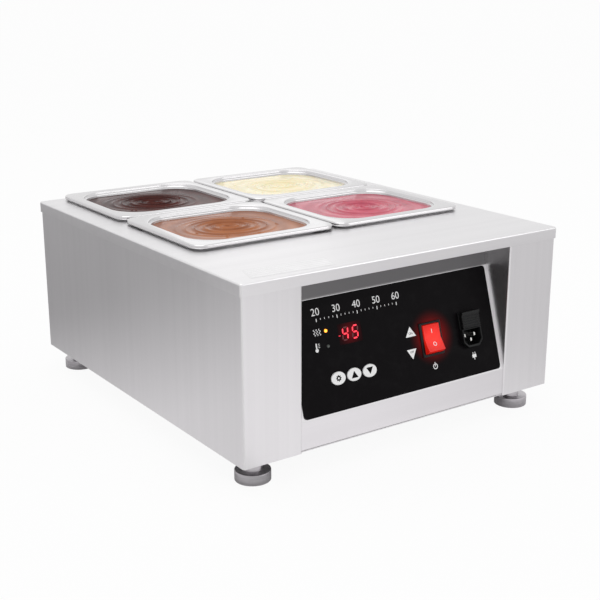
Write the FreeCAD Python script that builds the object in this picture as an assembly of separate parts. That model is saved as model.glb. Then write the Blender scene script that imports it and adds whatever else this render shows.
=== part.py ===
import FreeCAD, Part
import math
import os

# Chocolate tempering machine for four lift-out sixth-size gastronorm pans.
# Millimetres. +Z is up, the control panel faces -Y, and the origin is on the table
# under the middle of the cover.

V = FreeCAD.Vector

# ---- casing -----------------------------------------------------------------
COVER_WIDTH = 410.0
COVER_DEPTH = 460.0
DECK_TOP = 209.0
SHEET = 1.0
BEND_INSIDE = 1.0
COVER_SKIRT = 12.5
COVER_CORNER = 3.0
COVER_BEND = 2.0
COVER_BEND_INSIDE = 0.4
OVERHANG = 1.5
BODY_BOTTOM = 26.0
DECK_UNDER = DECK_TOP - SHEET
SIDE_X = COVER_WIDTH / 2 - OVERHANG
FRONT_Y = OVERHANG - COVER_DEPTH / 2
REAR_Y = COVER_DEPTH / 2 - OVERHANG
FASCIA_WIDTH = 67.5
RECESS_X = SIDE_X - FASCIA_WIDTH
RECESS_WALL_END = -178.0
REAR_RETURN = 14.0
RAIL_LEG = 14.0
RAIL_Y = (-170.0, 205.0)
BASE_TOP = BODY_BOTTOM + SHEET
BASE_CLEARANCE = 0.2
REAR_CLEARANCE = 1.1

# ---- sloping control plate, seen from the side ----------------------------------
BAND_Y = -192.0
BAND_BOTTOM = 170.5
STRIP_Y = -227.0
STRIP_TOP = 57.0
PLATE_FLANGE = 12.0
SLOPE_LENGTH = math.hypot(BAND_Y - STRIP_Y, BAND_BOTTOM - STRIP_TOP)
SLOPE_ANGLE = math.degrees(math.atan2(BAND_BOTTOM - STRIP_TOP, BAND_Y - STRIP_Y))
PANEL = FreeCAD.Placement(V(0, STRIP_Y, STRIP_TOP), FreeCAD.Rotation(V(1, 0, 0), SLOPE_ANGLE))

# ---- things on the control plate: across, up the slope, and out of it ------------
OVERLAY_HALF = 132.0
OVERLAY_MARGIN = 2.0
OVERLAY_CORNER = 4.0
OVERLAY = 0.8
DISPLAY = (-61.0, 76.5)
DISPLAY_SIZE = (29.0, 21.0)
LAMP_X = -90.0
LAMP_HEIGHTS = {"heat_lamp": 83.5, "thermal_lamp": 68.0}
LAMP_RADIUS = 1.6
LAMP_TOP = OVERLAY + 1.2
KEY_PLACES = {"set_key": -84.6, "up_key": -64.8, "down_key": -45.0}
KEY_HEIGHT = 34.5
KEY_SIZE = (17.6, 13.2)
KEY_GAP = 0.3
KEY_LEDGE = 0.8
KEY_TOP = 1.7
KEY_BEVEL = 0.4
SWITCH = (41.0, 51.5)
BEZEL_SIZE = (29.5, 36.5)
BEZEL_TOP = 2.8
SWITCH_BODY = (26.0, 34.0)
SWITCH_WELL = (23.0, 31.9)
ROCKER_WIDTH = 22.4
ROCKER_RADIUS = 15.6
ROCKER_TILT = 10.0
INLET_X = 95.0
INLET_SIZE = (27.0, 38.5)
INLET_BOTTOM = 33.0
INLET_FRONT = 6.0
DRAWER_SEAT = 3.2
SOCKET_SIZE = (24.0, 17.0)
SOCKET_BOTTOM = 35.2
SOCKET_FLOOR = -9.5
BOARD_FRONT = -8.5
BOARD = 1.6

# ---- pans and tank --------------------------------------------------------------
PAN_HALF = (88.0, 81.0)
PAN_PITCH = (180.0, 167.0)
PANS_Y = 60.5
PAN_RIM = DECK_TOP + 6.0
PAN_DEPTH = 100.0
PAN_SHEET = 0.8
PAN_SKIRT = 4.0
PAN_MOUTH = (74.5, 66.5)
PAN_CORNER = 34.0
PAN_DRAFT = 6.5
PAN_STEP = 2.5
PAN_KNEE = 7.0
CHOCOLATE_TOP = PAN_RIM - 9.0
PAN_PLACES = {"rear_left": (-1, 1), "rear_right": (1, 1), "front_left": (-1, -1), "front_right": (1, -1)}
CHOCOLATES = {"rear_left": "dark_chocolate", "rear_right": "white_chocolate",
              "front_left": "milk_chocolate", "front_right": "pink_chocolate"}
DECK_CUTOUT = (80.0, 73.0, 30.0)
COLLAR_TOP = PAN_RIM - PAN_SHEET
TANK_HALF = (173.0, 159.5)
TANK_CORNER = 12.0
TANK_FLOOR = 99.0
TANK_FLANGE = 5.0
INSULATION = 5.5

# ---- feet and fasteners -----------------------------------------------------------
FOOT_PLACES = {"foot_front_left": (-1, -1), "foot_front_right": (1, -1),
               "foot_rear_left": (-1, 1), "foot_rear_right": (1, 1)}
FOOT_X = 176.3
FOOT_Y = 201.3
FOOT_RADIUS = 18.2
FOOT_DISC = 11.0
FOOT_NECK = 9.0
FOOT_BEVEL = 0.9
FOOT_BORE = 6.0
BOLT_RADIUS = 4.0
TIE_PLACES = [(side * 190.0, y) for side in (-1, 1) for y in (-140.0, 195.0)]
TIE_RADIUS = 2.5
TIE_HOLE = 2.8
SCREW_HOLE = 2.1
SCREW_SHANK = 3.4
SCREW_ACROSS = 7.0
SCREW_HEAD = 1.4


# ---- helpers ------------------------------------------------------------------------
def block(x, y, z):
    """A box from three (low, high) pairs."""
    return Part.makeBox(x[1] - x[0], y[1] - y[0], z[1] - z[0], V(x[0], y[0], z[0]))


def rod(radius, start, end):
    """A round bar between two points."""
    return Part.makeCylinder(radius, (end - start).Length, start, end - start)


def rounded_outline(half_x, half_y, corner, z, centre=(0.0, 0.0)):
    """A closed rectangle with round corners, flat at height z."""
    cx, cy = centre
    turn = corner * math.sqrt(0.5)
    edges = []
    joints = []
    for sx, sy in ((1, -1), (1, 1), (-1, 1), (-1, -1)):
        middle = V(cx + sx * (half_x - corner), cy + sy * (half_y - corner), z)
        on_side = middle + V(sx * corner, 0, 0)
        on_end = middle + V(0, sy * corner, 0)
        halfway = middle + V(sx * turn, sy * turn, 0)
        first, last = (on_end, on_side) if sx * sy < 0 else (on_side, on_end)
        joints.append((first, halfway, last))
    for step, (first, halfway, last) in enumerate(joints):
        edges.append(Part.Arc(first, halfway, last).toShape())
        edges.append(Part.makeLine(last, joints[(step + 1) % 4][0]))
    return Part.Wire(edges)


def rounded_block(half_x, half_y, corner, z, centre=(0.0, 0.0)):
    """An upright block with round corners, between two heights."""
    outline = rounded_outline(half_x, half_y, corner, z[0], centre)
    return Part.Face(outline).extrude(V(0, 0, z[1] - z[0]))


def tapered_block(half_x, half_y, corner, draft, z, centre=(0.0, 0.0)):
    """A round-cornered block, narrower by the draft all round at its foot: two wedges and four cones."""
    cx, cy = centre
    height = z[1] - z[0]
    reach_x, reach_y = half_x - corner, half_y - corner
    across = [V(cx + x, cy - reach_y, h) for x, h in wedge_corners(half_x, draft, z)]
    along = [V(cx - reach_x, cy + y, h) for y, h in wedge_corners(half_y, draft, z)]
    block_x = Part.Face(Part.makePolygon(across)).extrude(V(0, 2 * reach_y, 0))
    block_y = Part.Face(Part.makePolygon(along)).extrude(V(2 * reach_x, 0, 0))
    corners = [V(cx + sx * reach_x, cy + sy * reach_y, z[0]) for sx in (-1, 1) for sy in (-1, 1)]
    cones = [Part.makeCone(corner - draft, corner, height, place) for place in corners]
    return block_x.fuse([block_y] + cones).removeSplitter()


def wedge_corners(half, draft, z):
    """The closed outline of a wedge: narrow at the foot, wide at the top."""
    return [(draft - half, z[0]), (half - draft, z[0]), (half, z[1]), (-half, z[1]), (draft - half, z[0])]


def edges_at(shape, z):
    """The edges of a shape that lie flat at one height."""
    return [e for e in shape.Edges if abs(e.BoundBox.ZMin - z) < 1e-4 and abs(e.BoundBox.ZMax - z) < 1e-4]


def rounded_chain(points, radii):
    """The edges of an open line whose corners are tangent arcs."""
    edges = []
    start = points[0]
    for before, corner, after, radius in zip(points, points[1:], points[2:], radii):
        back = (before - corner).normalize()
        ahead = (after - corner).normalize()
        half_turn = (math.pi - back.getAngle(ahead)) / 2
        reach = radius * math.tan(half_turn)
        rise = radius / math.cos(half_turn) - radius
        first = corner + back * reach
        last = corner + ahead * reach
        middle = corner + (back + ahead).normalize() * rise
        edges.append(Part.makeLine(start, first))
        edges.append(Part.Arc(first, middle, last).toShape())
        start = last
    edges.append(Part.makeLine(start, points[-1]))
    return edges


def folded_sheet(face_line, sweep):
    """A bent sheet: its outer face follows a line, and its thickness lies to the line's left."""
    up = V(sweep).normalize()
    points = [V(*point) for point in face_line]
    ways = [(b - a).normalize() for a, b in zip(points, points[1:])]
    lefts = [up.cross(way) for way in ways]
    inner = [points[0] + lefts[0] * SHEET]
    outer_radii = []
    inner_radii = []
    for point, left, next_left, way, next_way in zip(points[1:], lefts, lefts[1:], ways, ways[1:]):
        inner.append(point + (left + next_left) * (SHEET / (1 + left.dot(next_left))))
        turns_left = way.cross(next_way).dot(up) > 0
        outer_radii.append(BEND_INSIDE + SHEET if turns_left else BEND_INSIDE)
        inner_radii.append(BEND_INSIDE if turns_left else BEND_INSIDE + SHEET)
    inner.append(points[-1] + lefts[-1] * SHEET)
    edges = rounded_chain(points, outer_radii) + rounded_chain(inner, inner_radii)
    edges += [Part.makeLine(points[0], inner[0]), Part.makeLine(points[-1], inner[-1])]
    outline = Part.Wire(Part.__sortEdges__(edges))
    return Part.Face(outline).extrude(sweep)


def on_panel(shape):
    """Move a shape drawn across, up and out of the slope to its place on the machine."""
    moved = shape.copy()
    moved.Placement = PANEL.multiply(moved.Placement)
    return moved


def mirrored(shape):
    """The left-hand piece made right-handed."""
    return shape.mirror(V(0, 0, 0), V(1, 0, 0))


def hexagon_bar(start, end, across):
    """A six-sided bar between two points."""
    way = (end - start).normalize()
    side = way.cross(V(1, 0, 0)).normalize() * (across / math.sqrt(3))
    turns = [FreeCAD.Rotation(way, 60.0 * step) for step in range(7)]
    outline = Part.makePolygon([start + turn.multVec(side) for turn in turns])
    return Part.Face(outline).extrude(end - start)


def hexagon_screw(place, way, length):
    """A low hexagon-headed screw: place is under the head, way points to the head."""
    seat, outward = V(*place), V(*way)
    head = hexagon_bar(seat, seat + outward * SCREW_HEAD, SCREW_ACROSS)
    shank = hexagon_bar(seat, seat - outward * length, SCREW_SHANK)
    return head.fuse(shank).removeSplitter()


def bolt(seat, way, across, height, radius, length):
    """A hexagon-headed bolt: seat is under the head, way points to the head."""
    head = hexagon_bar(seat, seat + way * height, across)
    return head.fuse(rod(radius, seat, seat - way * length)).removeSplitter()


def save(name, shape):
    """Write one piece, or one group of equal pieces."""
    shape.exportStep("parts/" + name + ".step")


# ---- places of the fasteners --------------------------------------------------------
BASE_SCREWS = [(side * 195.0, y, BODY_BOTTOM) for side in (-1, 1) for y in (-155.0, 180.0)]
BASE_SCREWS += [(x, y, BODY_BOTTOM) for x in (-100.0, 100.0) for y in (-219.0, 219.0)]
REAR_SCREWS = [(side * 196.5, REAR_Y, z) for side in (-1, 1) for z in (50.0, 115.0, 180.0)]
POWER_POSTS = [(x, y) for x in (-72.0, 32.0) for y in (-183.0, -131.0)]
DISPLAY_POSTS = [(x, t) for x in (-99.5, -29.5) for t in (25.0, 95.0)]


# ---- casing -----------------------------------------------------------------------
def top_cover():
    """The pan deck: a tray turned upside down, with four openings whose edges stand up as collars."""
    half_x, half_y = COVER_WIDTH / 2, COVER_DEPTH / 2
    skirt_bottom = DECK_TOP - COVER_SKIRT
    outside = rounded_block(half_x, half_y, COVER_CORNER, (skirt_bottom, DECK_TOP))
    outside = outside.makeFillet(COVER_BEND, edges_at(outside, DECK_TOP))
    hollow = (skirt_bottom - 1, DECK_UNDER)
    inside = rounded_block(half_x - SHEET, half_y - SHEET, COVER_CORNER - SHEET, hollow)
    inside = inside.makeFillet(COVER_BEND_INSIDE, edges_at(inside, DECK_UNDER))
    cover = outside.cut(inside)
    grown = [size + SHEET for size in DECK_CUTOUT]
    for place in PAN_PLACES.values():
        cover = cover.fuse(rounded_block(*grown, (DECK_UNDER, COLLAR_TOP), pan_centre(place)))
    cover = cover.removeSplitter()
    for place in PAN_PLACES.values():
        cover = cover.cut(rounded_block(*DECK_CUTOUT, (DECK_UNDER - 1, COLLAR_TOP + 1), pan_centre(place)))
    return cover


def left_side_panel():
    """Side wall, front fascia and recess cheek folded from one sheet."""
    corners = [(REAR_RETURN - SIDE_X, REAR_Y), (-SIDE_X, REAR_Y), (-SIDE_X, FRONT_Y),
               (-RECESS_X, FRONT_Y), (-RECESS_X, RECESS_WALL_END)]
    panel = folded_sheet([(x, y, BODY_BOTTOM) for x, y in corners], V(0, 0, DECK_UNDER - BODY_BOTTOM))
    for x, y, z in REAR_SCREWS:
        panel = panel.cut(rod(SCREW_HOLE, V(x, y - 5, z), V(x, y + 5, z)))
    return panel


def rear_panel():
    """The back, behind the side panels' returns, with its foot turned in."""
    half = SIDE_X - SHEET - REAR_CLEARANCE
    face = REAR_Y - SHEET
    line = [(half, face, DECK_UNDER), (half, face, BASE_TOP), (half, face - RAIL_LEG, BASE_TOP)]
    panel = folded_sheet(line, V(-2 * half, 0, 0))
    for x, y, z in REAR_SCREWS:
        panel = panel.cut(rod(SCREW_HOLE, V(x, y - 5, z), V(x, y + 5, z)))
    return drilled(panel, BASE_SCREWS, SCREW_HOLE)


def base_rail():
    """An angle along the side wall that the base is screwed to."""
    wall = SHEET - SIDE_X
    start, end = RAIL_Y
    section = [(wall + RAIL_LEG, BASE_TOP), (wall, BASE_TOP), (wall, BASE_TOP + RAIL_LEG)]
    rail = folded_sheet([(x, start, z) for x, z in section], V(0, end - start, 0))
    return drilled(drilled(rail, BASE_SCREWS, SCREW_HOLE), TIE_PLACES, TIE_HOLE)


def drilled(plate, places, radius):
    """A flat plate near the bottom with round holes straight through it."""
    for place in places:
        x, y = place[:2]
        plate = plate.cut(rod(radius, V(x, y, BODY_BOTTOM - 5), V(x, y, BODY_BOTTOM + 5)))
    return plate


def base_plate():
    """The bottom, with vent slots, holes and slits for the recess cheeks."""
    half_x = SIDE_X - SHEET - BASE_CLEARANCE
    plate = block((-half_x, half_x), (STRIP_Y + SHEET, REAR_Y - 2 * SHEET), (BODY_BOTTOM, BASE_TOP))
    for side in (-1, 1):
        slit = sorted((side * (RECESS_X - 0.3), side * (RECESS_X + SHEET + 0.3)))
        plate = plate.cut(block(slit, (FRONT_Y, RECESS_WALL_END + 0.3), (BODY_BOTTOM - 1, BASE_TOP + 1)))
    for x in (-90.0, 90.0):
        for step in range(6):
            y = 12.0 * step - 60.0
            plate = plate.cut(block((x - 32, x + 32), (y, y + 3), (BODY_BOTTOM - 1, BASE_TOP + 1)))
    plate = drilled(plate, BASE_SCREWS, SCREW_HOLE)
    plate = drilled(plate, TIE_PLACES, TIE_HOLE)
    return drilled(plate, [(sx * FOOT_X, sy * FOOT_Y) for sx, sy in FOOT_PLACES.values()], BOLT_RADIUS + 0.2)


def control_plate():
    """One sheet folded into a top flange, a short band, the slope, a strip and a foot flange."""
    line = [(BAND_Y + PLATE_FLANGE, DECK_UNDER), (BAND_Y, DECK_UNDER), (BAND_Y, BAND_BOTTOM),
            (STRIP_Y, STRIP_TOP), (STRIP_Y, BASE_TOP), (STRIP_Y + RAIL_LEG, BASE_TOP)]
    plate = folded_sheet([(-RECESS_X, y, z) for y, z in line], V(2 * RECESS_X, 0, 0))
    window = [size - 2 for size in DISPLAY_SIZE]
    plate = plate.cut(on_panel(panel_openings((-3, 3), window)))
    return drilled(plate, BASE_SCREWS, SCREW_HOLE)


def panel_openings(depth, window):
    """The holes that the plate and the overlay share, as one set of plugs."""
    plugs = [rounded_block(window[0] / 2, window[1] / 2, 1.0, depth, DISPLAY)]
    for t in LAMP_HEIGHTS.values():
        plugs.append(rod(LAMP_RADIUS + 0.2, V(LAMP_X, t, depth[0]), V(LAMP_X, t, depth[1])))
    plugs += [oval(KEY_GAP, depth, x) for x in KEY_PLACES.values()]
    plugs.append(rounded_block(SWITCH_BODY[0] / 2, SWITCH_BODY[1] / 2, 1.0, depth, SWITCH))
    plugs.append(inlet_outline(0.0, depth))
    return plugs[0].fuse(plugs[1:])


def panel_overlay():
    """The black printed front of the slope."""
    middle = (0.0, SLOPE_LENGTH / 2)
    half_t = SLOPE_LENGTH / 2 - OVERLAY_MARGIN
    sheet = rounded_block(OVERLAY_HALF, half_t, OVERLAY_CORNER, (0, OVERLAY), middle)
    sheet = sheet.cut(panel_openings((-1, 2), DISPLAY_SIZE))
    return on_panel(sheet)


# ---- display, lamps and keys ------------------------------------------------------
def oval_ring(extra, x, z):
    """The outline of a key, a little larger all round, at one height."""
    long_half, short_half = [size / 2 + extra for size in KEY_SIZE]
    return Part.Wire([Part.Ellipse(V(x, KEY_HEIGHT, z), long_half, short_half).toShape()])


def oval(extra, depth, x):
    """An upright plug with the outline of a key, a little larger all round."""
    return Part.Face(oval_ring(extra, x, depth[0])).extrude(V(0, 0, depth[1] - depth[0]))


def display_window():
    """The red pane, flush with the overlay."""
    return on_panel(rounded_block(DISPLAY_SIZE[0] / 2, DISPLAY_SIZE[1] / 2, 1.0, (0, OVERLAY - 0.1), DISPLAY))


def display_module():
    """The two-figure block that shines through the pane."""
    return on_panel(rounded_block(12.5, 8.5, 0.5, (BOARD_FRONT, -0.2), DISPLAY))


def display_board():
    """The small board behind the keys, held off the plate by four posts."""
    board = rounded_block(38.5, 38.0, 2.0, (BOARD_FRONT - BOARD, BOARD_FRONT), (-64.5, 60.0))
    return on_panel(board)


def display_board_posts():
    """Four hexagon spacers between the plate and the board."""
    posts = [hexagon_bar(V(x, t, BOARD_FRONT), V(x, t, -SHEET), 5.0) for x, t in DISPLAY_POSTS]
    return on_panel(Part.makeCompound(posts))


def panel_lamp(height):
    """A small round lamp with a tapered end."""
    lamp = rod(LAMP_RADIUS, V(LAMP_X, height, BOARD_FRONT), V(LAMP_X, height, LAMP_TOP))
    return on_panel(lamp.makeChamfer(LAMP_RADIUS / 2, edges_at(lamp, LAMP_TOP)))


def tact_switches():
    """The clickers under the keys."""
    clickers = []
    for x in KEY_PLACES.values():
        body = block((x - 3, x + 3), (KEY_HEIGHT - 3, KEY_HEIGHT + 3), (BOARD_FRONT, -5.2))
        plunger = block((x - 1.5, x + 1.5), (KEY_HEIGHT - 1.5, KEY_HEIGHT + 1.5), (-5.2, -4.5))
        clickers.append(body.fuse(plunger).removeSplitter())
    return on_panel(Part.makeCompound(clickers))


def panel_key(x):
    """An oval key cap with a ledge behind the plate and a stem that meets its clicker."""
    shoulder = KEY_TOP - KEY_BEVEL
    cap = oval(0.0, (-SHEET - 0.2, shoulder), x)
    crown = Part.makeLoft([oval_ring(0.0, x, shoulder), oval_ring(-KEY_BEVEL, x, KEY_TOP)], True, True)
    low, high = KEY_HEIGHT - KEY_SIZE[1] / 2, KEY_HEIGHT + KEY_SIZE[1] / 2
    ledge = block((x - 6, x + 6), (low - KEY_LEDGE, high + KEY_LEDGE), (-SHEET - 1.1, -SHEET - 0.2))
    stem = block((x - 2, x + 2), (KEY_HEIGHT - 2, KEY_HEIGHT + 2), (-3.7, -SHEET - 1.1))
    return on_panel(cap.fuse([crown, ledge, stem]).removeSplitter())


# ---- rocker switch ------------------------------------------------------------------
def switch_housing():
    """Frame and body of the switch, open in front for the rocker."""
    x, t = SWITCH
    bezel = rounded_block(BEZEL_SIZE[0] / 2, BEZEL_SIZE[1] / 2, 1.5, (OVERLAY, BEZEL_TOP), SWITCH)
    bezel = bezel.makeChamfer(0.7, edges_at(bezel, BEZEL_TOP))
    body = rounded_block(SWITCH_BODY[0] / 2, SWITCH_BODY[1] / 2, 1.0, (-22, OVERLAY), SWITCH)
    well = block((x - SWITCH_WELL[0] / 2, x + SWITCH_WELL[0] / 2),
                 (t - SWITCH_WELL[1] / 2, t + SWITCH_WELL[1] / 2), (-9, BEZEL_TOP + 1))
    bearings = rod(1.45, V(x - 12.6, t, 0), V(x + 12.6, t, 0))
    return on_panel(bezel.fuse(body).removeSplitter().cut(well.fuse(bearings)))


def switch_terminals():
    """Four flat blades at the back of the switch."""
    x, t = SWITCH
    places = [(x + dx, t + dt) for dx in (-6.0, 6.0) for dt in (-8.0, 8.0)]
    blades = [block((px - 0.4, px + 0.4), (pt - 3.1, pt + 3.1), (-31, -22)) for px, pt in places]
    return on_panel(Part.makeCompound(blades))


def rocker():
    """The see-saw cap: a shallow valley between two ends that are arcs about its pivot."""
    def ring(degrees):
        angle = math.radians(degrees)
        return V(0, ROCKER_RADIUS * math.cos(angle), ROCKER_RADIUS * math.sin(angle))
    top, low = 24.6, -12.0
    middle = (top + low) / 2
    valley, keel, far_keel = V(0, 0, 4.0), V(0, 9, -5), V(0, -9, -5)
    near = [ring(top), ring(middle), ring(low)]
    far = [V(0, -p.y, p.z) for p in near[::-1]]
    edges = [Part.makeLine(valley, near[0]), Part.Arc(*near).toShape(), Part.makeLine(near[2], keel),
             Part.makeLine(keel, far_keel), Part.makeLine(far_keel, far[0]), Part.Arc(*far).toShape(),
             Part.makeLine(far[2], valley)]
    half = ROCKER_WIDTH / 2
    cap = Part.Face(Part.Wire(edges)).extrude(V(ROCKER_WIDTH, 0, 0))
    cap.translate(V(-half, 0, 0))
    cap = cap.fuse(rod(1.3, V(-half - 1.2, 0, 0), V(half + 1.2, 0, 0))).removeSplitter()
    cap.rotate(V(0, 0, 0), V(1, 0, 0), -ROCKER_TILT)
    cap.translate(V(SWITCH[0], SWITCH[1], 0))
    return on_panel(cap)


# ---- mains inlet with its fuse drawer ---------------------------------------------------
def bevelled(half_x, bottom, top, bevel, depth):
    """An upright block whose two lower corners are cut off, centred on the inlet."""
    corners = [(-half_x, top), (-half_x, bottom + bevel), (-half_x + bevel, bottom),
               (half_x - bevel, bottom), (half_x, bottom + bevel), (half_x, top)]
    points = [V(INLET_X + x, t, depth[0]) for x, t in corners]
    return Part.Face(Part.makePolygon(points + points[:1])).extrude(V(0, 0, depth[1] - depth[0]))


def inlet_outline(extra, depth):
    """The inlet's outline as a plug, a little larger all round."""
    half_x = INLET_SIZE[0] / 2 + extra
    return bevelled(half_x, INLET_BOTTOM - extra, INLET_BOTTOM + INLET_SIZE[1] + extra, 6.0, depth)


def inlet_housing():
    """The socket and the drawer's guide in one moulding, with a flange behind the plate."""
    body = inlet_outline(0.0, (-24, INLET_FRONT))
    flange = inlet_outline(3.0, (-3.5, -SHEET))
    housing = body.fuse(flange).removeSplitter()
    left, right = INLET_X - 20, INLET_X + 20
    housing = housing.cut(block((left, right), (53.5, 75), (DRAWER_SEAT, 10)))
    socket = bevelled(SOCKET_SIZE[0] / 2, SOCKET_BOTTOM, SOCKET_BOTTOM + SOCKET_SIZE[1], 5.0,
                      (SOCKET_FLOOR, INLET_FRONT + 1))
    guide = block((INLET_X - 11.4, INLET_X + 11.4), (56.6, 68.4), (-18.4, DRAWER_SEAT + 1))
    housing = housing.cut(socket).cut(guide)
    for x, t, tip in inlet_pin_places():
        housing = housing.cut(block((x - 1, x + 1), (t - 2, t + 2), (-25, 0)))
    return on_panel(housing)


def inlet_pin_places():
    """Across, up and tip height of the two line pins and the earth pin."""
    return [(INLET_X - 7, 46.0, 1.5), (INLET_X + 7, 46.0, 1.5), (INLET_X, 41.0, 2.8)]


def inlet_pins():
    """Three flat pins that run through the housing to their tails."""
    pins = []
    for x, t, tip in inlet_pin_places():
        pin = block((x - 1, x + 1), (t - 2, t + 2), (-32, tip))
        ends = [e for e in pin.Edges if abs(e.CenterOfMass.z - tip) < 1e-6]
        pins.append(pin.makeChamfer(0.5, ends))
    return on_panel(Part.makeCompound(pins))


def fuse_drawer():
    """A ribbed grip in front of a carrier with a pocket for the fuse."""
    seat = DRAWER_SEAT + 0.3
    grip = block((INLET_X - 12.5, INLET_X + 12.5), (54.0, 71.0), (seat, 7.6))
    lip = block((INLET_X - 12.5, INLET_X + 12.5), (69.0, 71.5), (seat, 9.0))
    carrier = block((INLET_X - 11, INLET_X + 11), (57.0, 68.0), (-18, seat))
    drawer = grip.fuse([lip, carrier]).removeSplitter()
    for step in range(5):
        low = 55.2 + 2.7 * step
        drawer = drawer.cut(block((INLET_X - 13, INLET_X + 13), (low, low + 1.1), (6.8, 8)))
    pocket = block((INLET_X - 10.3, INLET_X + 10.3), (59.6, 69), (-13, -7))
    return on_panel(drawer.cut(pocket))


def fuse():
    """A five by twenty cartridge fuse lying in the drawer."""
    tube = rod(2.3, V(INLET_X - 10.2, 62.2, -10), V(INLET_X + 10.2, 62.2, -10))
    caps = [rod(2.6, V(INLET_X + low, 62.2, -10), V(INLET_X + low + 5, 62.2, -10)) for low in (-10.2, 5.2)]
    return on_panel(tube.fuse(caps).removeSplitter())


# ---- pans, chocolate and tank -------------------------------------------------------------
def pan_centre(place):
    """Where a pan stands in the deck."""
    return (place[0] * PAN_PITCH[0] / 2, PANS_Y + place[1] * PAN_PITCH[1] / 2)


def pan_bowl(thickness, centre):
    """The tapered bowl of a pan up to its ledge, grown outwards by a wall thickness."""
    low = PAN_RIM - PAN_DEPTH + PAN_SHEET - thickness
    knee = low + PAN_KNEE
    mouth = [size + thickness for size in PAN_MOUTH]
    waist = [size - PAN_DRAFT for size in mouth]
    corner = PAN_CORNER + thickness
    walls = tapered_block(*mouth, corner, PAN_DRAFT, (knee, PAN_RIM - PAN_STEP), centre)
    foot = tapered_block(*waist, corner - PAN_DRAFT, PAN_KNEE, (low, knee), centre)
    return walls.fuse(foot).removeSplitter()


def pan(place):
    """A pressed pan: turned-down rim, a step for its lid and a tapered bowl."""
    centre = pan_centre(place)
    ledge = PAN_RIM - PAN_STEP
    skirt_bottom = PAN_RIM - PAN_SKIRT
    rim = rounded_block(*PAN_HALF, 14.0, (skirt_bottom, PAN_RIM), centre)
    rim = rim.makeChamfer(1.0, edges_at(rim, PAN_RIM))
    under = [size - PAN_SHEET for size in PAN_HALF]
    hollow = rounded_block(*under, 13.2, (skirt_bottom - 1, PAN_RIM - PAN_SHEET), centre)
    hollow = hollow.makeChamfer(0.6, edges_at(hollow, PAN_RIM - PAN_SHEET))
    tread = [size + PAN_STEP for size in PAN_MOUTH]
    tread_corner = PAN_CORNER + PAN_STEP
    tread_outside = [size + PAN_SHEET for size in tread]
    below, above = (ledge - PAN_SHEET, PAN_RIM - 0.2), (ledge, PAN_RIM + 1)
    step_outside = rounded_block(*tread_outside, tread_corner + PAN_SHEET, below, centre)
    step_inside = rounded_block(*tread, tread_corner, above, centre)
    shell = rim.cut(hollow).fuse([step_outside, pan_bowl(PAN_SHEET, centre)]).removeSplitter()
    return shell.cut(step_inside.fuse(pan_bowl(0.0, centre)))


def chocolate(place):
    """The melted chocolate that fills a pan nearly to its step."""
    bowl = pan_bowl(0.0, pan_centre(place))
    cx, cy = pan_centre(place)
    return bowl.common(block((cx - 100, cx + 100), (cy - 100, cy + 100), (0, CHOCOLATE_TOP)))


def heating_tank():
    """The warm well under the deck: a flanged, round-cornered trough."""
    centre = (0.0, PANS_Y)
    flange_half = [size + TANK_FLANGE for size in TANK_HALF]
    outside = rounded_block(*TANK_HALF, TANK_CORNER, (TANK_FLOOR, DECK_UNDER), centre)
    flange = rounded_block(*flange_half, TANK_CORNER + TANK_FLANGE, (DECK_UNDER - SHEET, DECK_UNDER), centre)
    inner_half = [size - SHEET for size in TANK_HALF]
    inside = rounded_block(*inner_half, TANK_CORNER - SHEET, (TANK_FLOOR + SHEET, DECK_UNDER + 1), centre)
    return outside.fuse(flange).removeSplitter().cut(inside)


def heating_mat():
    """The flat heater pressed against the tank's floor."""
    mat = rounded_block(150.0, 138.0, 6.0, (TANK_FLOOR - 3.0, TANK_FLOOR), (0.0, PANS_Y))
    return mat


def tank_insulation():
    """A blanket round the tank walls, cut away in front for the probe and the cut-out."""
    centre = (0.0, PANS_Y)
    outer = [size + INSULATION for size in TANK_HALF]
    heights = (TANK_FLOOR + 8, DECK_UNDER - SHEET)
    blanket = rounded_block(*outer, TANK_CORNER + INSULATION, heights, centre)
    blanket = blanket.cut(rounded_block(*TANK_HALF, TANK_CORNER, (0, DECK_TOP), centre))
    front = PANS_Y - TANK_HALF[1]
    return blanket.cut(block((-70, 70), (front - 10, front + 5), (0, 150)))


def insulation_board():
    """A board under the heater, resting on the two bridges."""
    return block((-165, 165), (PANS_Y - 150, PANS_Y + 150), (TANK_FLOOR - 15, TANK_FLOOR - 3))


def tank_bridges():
    """Two channels across the base that carry the board, the heater and the tank."""
    bridges = []
    for y in (-20.0, 140.0):
        top = TANK_FLOOR - 15
        foot_top = BASE_TOP + SHEET
        half = [(y - 24, foot_top), (y - 10, foot_top), (y - 10, top)]
        line = half + [(2 * y - py, pz) for py, pz in half[::-1]]
        bridges.append(folded_sheet([(150, py, pz) for py, pz in line], V(-300, 0, 0)))
    return Part.makeCompound(bridges)


def temperature_probe():
    """A sensor tube held flat against the tank's front wall."""
    y = PANS_Y - TANK_HALF[1] - 3.0
    return rod(3.0, V(-55, y, 128), V(-10, y, 128))


def probe_clip():
    """The strap that holds the sensor tube."""
    wall = PANS_Y - TANK_HALF[1]
    ears = block((-38, -28), (wall - 1.0, wall), (118, 138))
    hoop = rod(4.0, V(-38, wall - 3.0, 128), V(-28, wall - 3.0, 128))
    hoop = hoop.fuse(block((-38, -28), (wall - 3.0, wall), (124, 132)))
    tube_room = rod(3.05, V(-39, wall - 3.0, 128), V(-27, wall - 3.0, 128))
    strap = ears.fuse(hoop).removeSplitter().cut(tube_room)
    return strap.cut(block((-39, -27), (wall - 3.0, wall + 1), (125, 131)))


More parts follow.
